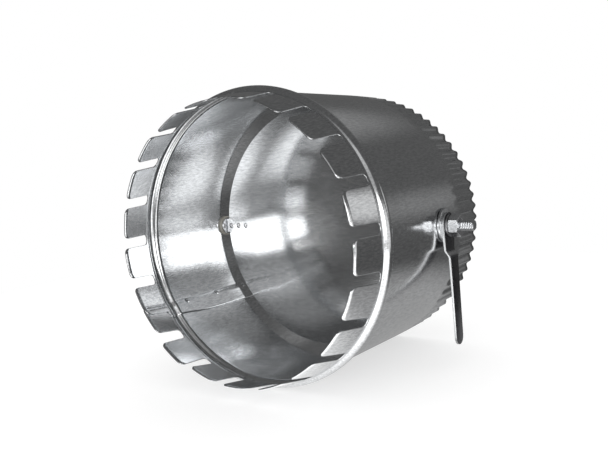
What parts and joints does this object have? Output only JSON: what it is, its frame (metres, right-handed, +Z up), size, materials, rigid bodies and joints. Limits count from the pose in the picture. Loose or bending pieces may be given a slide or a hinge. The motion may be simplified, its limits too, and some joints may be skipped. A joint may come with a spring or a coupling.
{
  "type": "duct collar damper",
  "caption": "Round sheet metal take-off collar with a ring of fold-over tabs, a stop bead, a crimped male end and a butterfly damper blade turned by an outside lever.",
  "frame": {"origin": "on the tube's axis, in the plane of the bead that stops against the plenum wall", "axes": "+Y along the tube from the tabs to the crimped end, +X along the damper axle towards the lever, +Z up as it lies in the picture, with the lever hanging down"},
  "size_m": [0.1724, 0.1376, 0.158],
  "materials": {
    "galvanised_sheet": "bright rolled zinc coated sheet with a fine grain",
    "blade_sheet": "satin zinc coated sheet",
    "zinc_plated_steel": "bright zinc plate",
    "lever_steel": "zinc plated strip with sheared edges",
    "spring_steel": "dull plated spring steel",
    "rivet_metal": "satin plated rivet",
    "nylon": "natural nylon"
  },
  "bodies": {
    "collar": {"collar_sleeve": "galvanised_sheet", "handle_bushing": "nylon", "idle_bushing": "nylon", "lever_washer": "zinc_plated_steel"},
    "damper": {"damper_blade": "blade_sheet", "threaded_stud": "zinc_plated_steel", "idle_axle": "zinc_plated_steel", "stud_rivets": "rivet_metal", "idle_axle_rivets": "rivet_metal", "stud_thrust_washer": "zinc_plated_steel", "idle_thrust_washer": "zinc_plated_steel", "damper_lever": "lever_steel", "lock_washer": "spring_steel", "hex_nut": "zinc_plated_steel"}
  },
  "joints": [
    {"name": "blade_turn", "type": "hinge", "parent": "collar", "child": "damper", "pos_m": [0, 0.0652, 0], "axis": [1, 0, 0], "range_deg": [-90, 90]}
  ]
}
